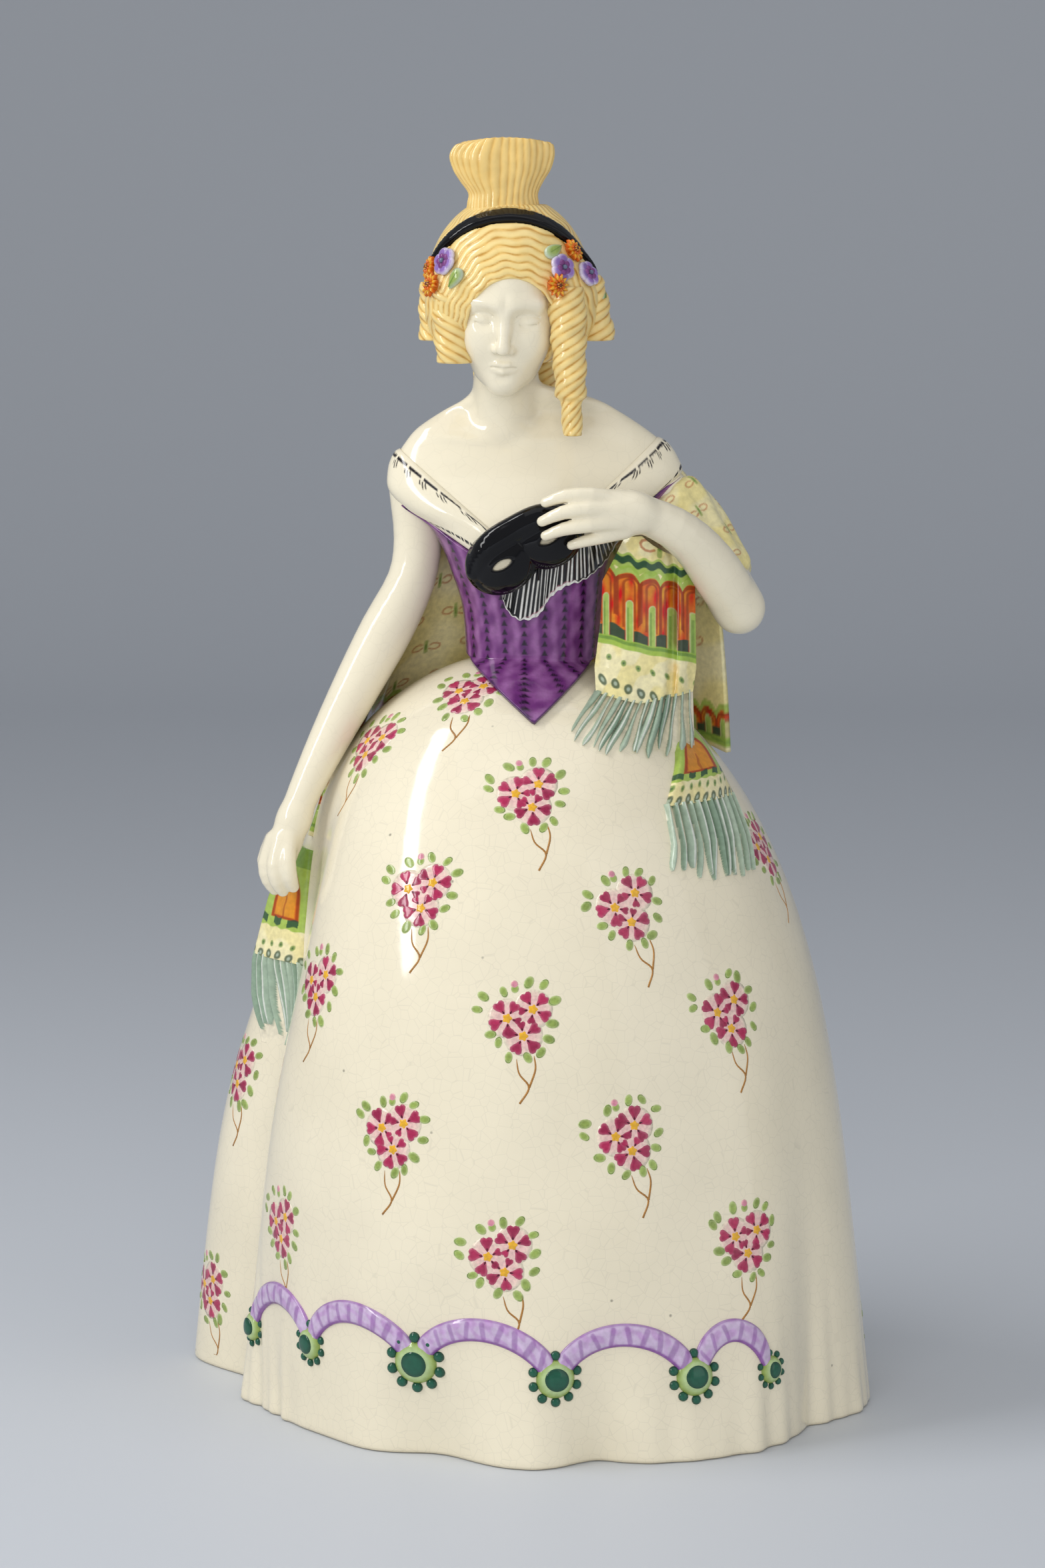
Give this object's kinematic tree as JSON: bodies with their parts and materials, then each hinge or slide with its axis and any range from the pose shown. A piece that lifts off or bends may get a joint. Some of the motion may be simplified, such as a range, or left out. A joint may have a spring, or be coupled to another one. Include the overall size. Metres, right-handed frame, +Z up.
{
  "type": "ceramic figurine",
  "caption": "Glazed ceramic figurine of a standing lady in a crinoline with a fringed shawl and a half mask.",
  "frame": {"origin": "centre of the figure's extent on the table, at the height of the foot rim", "axes": "+Z up, the lady faces -Y, +X towards the lady's left arm"},
  "size_m": [0.1975, 0.1818, 0.3604],
  "materials": {
    "cream_glaze": "glossy cream glaze with painted posies",
    "white_glaze": "glossy ivory white glaze",
    "purple_glaze": "glossy purple with darker dotted stripes",
    "hair_glaze": "glossy yellow ochre over carved waves",
    "black_glaze": "glossy black",
    "lace_glaze": "black with scratched white strokes",
    "shawl_glaze": "glossy pale yellow with small motifs",
    "border_glaze": "glossy orange and green border",
    "fringe_glaze": "glossy sage green and white strands",
    "violet_glaze": "glossy violet petals",
    "amber_glaze": "glossy amber petals",
    "leaf_glaze": "glossy pale green",
    "jade_glaze": "glossy pale green with dark green heart and beads",
    "mauve_glaze": "glossy mauve ribbon with darker dashes"
  },
  "bodies": {
    "root": {"skirt_shell": "cream_glaze", "bust": "white_glaze", "bodice_shell": "purple_glaze", "neckline_band": "white_glaze", "head": "white_glaze", "front_hair": "hair_glaze", "back_hair": "hair_glaze", "topknot": "hair_glaze", "hairband": "black_glaze", "flower_left_purple": "violet_glaze", "flower_left_amber_top": "amber_glaze", "flower_left_amber_low": "amber_glaze", "flower_right_purple_front": "violet_glaze", "flower_right_amber_top": "amber_glaze", "flower_right_purple_back": "violet_glaze", "flower_right_amber_low": "amber_glaze", "leaf_left": "leaf_glaze", "leaf_right_upper": "leaf_glaze", "leaf_right_lower": "leaf_glaze", "ringlet_right_long": "hair_glaze", "ringlet_right_outer": "hair_glaze", "ringlet_left_front": "hair_glaze", "ringlet_left_outer": "hair_glaze", "ringlet_nape_left": "hair_glaze", "ringlet_nape_middle": "hair_glaze", "ringlet_nape_right": "hair_glaze", "right_arm": "white_glaze", "left_arm": "white_glaze", "mask": "black_glaze", "mask_lace": "lace_glaze", "shawl_back": "shawl_glaze", "shawl_wrap": "shawl_glaze", "shawl_fall": "border_glaze", "shawl_fall_fringe": "fringe_glaze", "shawl_lower_fall": "border_glaze", "shawl_lower_fringe": "fringe_glaze", "shawl_tail": "border_glaze", "shawl_tail_fringe": "fringe_glaze", "boss_1": "jade_glaze", "boss_2": "jade_glaze", "boss_3": "jade_glaze", "boss_4": "jade_glaze", "boss_5": "jade_glaze", "boss_6": "jade_glaze", "garland_1": "mauve_glaze", "garland_2": "mauve_glaze", "garland_3": "mauve_glaze", "garland_4": "mauve_glaze", "garland_5": "mauve_glaze"}
  },
  "joints": []
}
